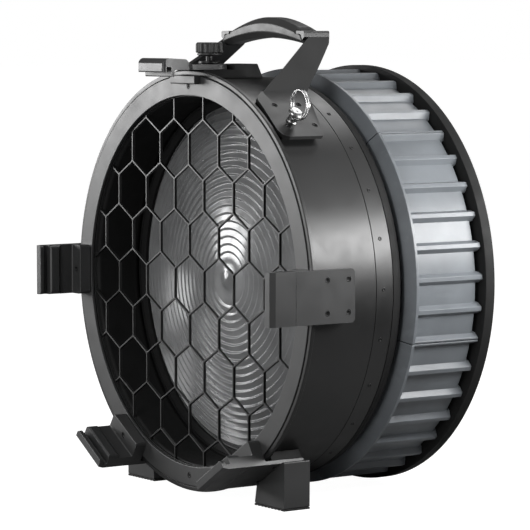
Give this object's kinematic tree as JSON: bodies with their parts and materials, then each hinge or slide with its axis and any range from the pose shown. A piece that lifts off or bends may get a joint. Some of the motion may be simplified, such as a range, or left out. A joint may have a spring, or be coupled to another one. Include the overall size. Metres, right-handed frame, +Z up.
{
  "type": "fresnel spotlight lens attachment",
  "caption": "Large round fresnel lens head for a studio light, with a turning focus grip, hexagonal guard, accessory brackets, top latch, carrying handle and feet.",
  "frame": {"origin": "centre of the bounding box at floor level, under the barrel", "axes": "-Y is the way the light shines, +Y is the rear mount side, +Z is up, +X is the side with the safety ring"},
  "size_m": [0.434, 0.273, 0.4835],
  "materials": {
    "black_paint": "fine satin black powder coat",
    "satin_black_plate": "satin black anodised look",
    "inner_black": "matt anti-reflection black",
    "grip_plastic": "blue-grey satin moulded plastic",
    "bare_aluminium": "machined",
    "slide_plastic": "black acetal",
    "lens_glass": "clear moulded glass",
    "black_rubber": "matt black",
    "mount_steel": "turned and brushed",
    "screw_steel": "black oxide",
    "knob_plastic": "satin black",
    "handle_plastic": "satin black, slightly rubbery",
    "bright_chrome": "polished"
  },
  "bodies": {
    "barrel": {"front_plate": "satin_black_plate", "rim_ring": "black_paint", "hex_guard": "black_paint", "front_baffle": "inner_black", "front_barrel": "black_paint", "rear_barrel": "black_paint", "joining_ring": "bare_aluminium", "guide_tube": "inner_black", "front_slide_ring": "slide_plastic", "rear_slide_ring": "slide_plastic", "rear_ring": "black_paint", "rear_plate": "inner_black", "mount_ring": "mount_steel", "latch_base": "black_paint", "latch_stud": "screw_steel", "top_rest_block": "black_paint", "top_block_screw": "screw_steel", "handle_leg_right": "black_paint", "handle_leg_left": "black_paint", "handle_spacer_right": "inner_black", "handle_spacer_left": "inner_black", "handle_grip": "handle_plastic", "safety_eye": "bright_chrome", "right_foot": "black_paint", "left_foot": "black_paint", "right_foot_pad": "black_rubber", "left_foot_pad": "black_rubber", "front_plate_screw_1": "screw_steel", "front_plate_screw_2": "screw_steel", "right_bracket": "satin_black_plate", "right_bracket_spacer": "inner_black", "right_block_screw": "screw_steel", "left_bracket": "satin_black_plate", "left_bracket_spacer": "inner_black", "left_block_screw": "screw_steel", "lower_right_bracket": "satin_black_plate", "lower_right_bracket_spacer": "inner_black", "lower_right_block_screw": "screw_steel", "lower_left_bracket": "satin_black_plate", "lower_left_bracket_spacer": "inner_black", "lower_left_block_screw": "screw_steel"},
    "focus_grip": {"focus_drum": "bare_aluminium", "grip_segment_1": "grip_plastic", "grip_segment_2": "grip_plastic", "grip_segment_3": "grip_plastic", "grip_segment_4": "grip_plastic", "grip_segment_5": "grip_plastic", "grip_segment_6": "grip_plastic"},
    "lens_carriage": {"lens_cell": "inner_black", "lens": "lens_glass", "lens_gasket": "black_rubber", "lens_retaining_ring": "inner_black", "follower_pin_1": "screw_steel", "follower_pin_2": "screw_steel", "follower_pin_3": "screw_steel"},
    "latch_arm": {"latch_arm": "satin_black_plate"},
    "latch_washer": {"latch_washer": "screw_steel"},
    "latch_knob": {"latch_knob": "knob_plastic"},
    "split_ring": {"split_ring": "bright_chrome"}
  },
  "joints": [
    {"name": "focus_turn", "type": "hinge", "parent": "barrel", "child": "focus_grip", "pos_m": [0, 0, 0.217], "axis": [0, 1, 0], "range_deg": [0, 120]},
    {"name": "lens_slide", "type": "slide", "parent": "barrel", "child": "lens_carriage", "axis": [0, 1, 0], "range_m": [0, 0.06]},
    {"name": "latch_swing", "type": "hinge", "parent": "barrel", "child": "latch_arm", "pos_m": [0, -0.059, 0.435], "axis": [0, 0, 1], "range_deg": [-90, 90]},
    {"name": "latch_washer_lift", "type": "slide", "parent": "barrel", "child": "latch_washer", "axis": [0, 0, 1], "range_m": [0, 0.005]},
    {"name": "latch_knob_turn", "type": "hinge", "parent": "latch_washer", "child": "latch_knob", "pos_m": [0, -0.059, 0.447], "axis": [0, 0, 1], "range_deg": [0, 1440]},
    {"name": "split_ring_swing", "type": "hinge", "parent": "barrel", "child": "split_ring", "pos_m": [0.14106, -0.0545, 0.38713], "axis": [-0.766, 0, 0.6428], "range_deg": [-80, 80]}
  ],
  "couplings": [
    {"joint": "lens_slide", "follows": "focus_turn", "m_per_rad": 0.028648},
    {"joint": "latch_knob_turn", "follows": "latch_washer_lift", "rad_per_m": 5026.5}
  ]
}
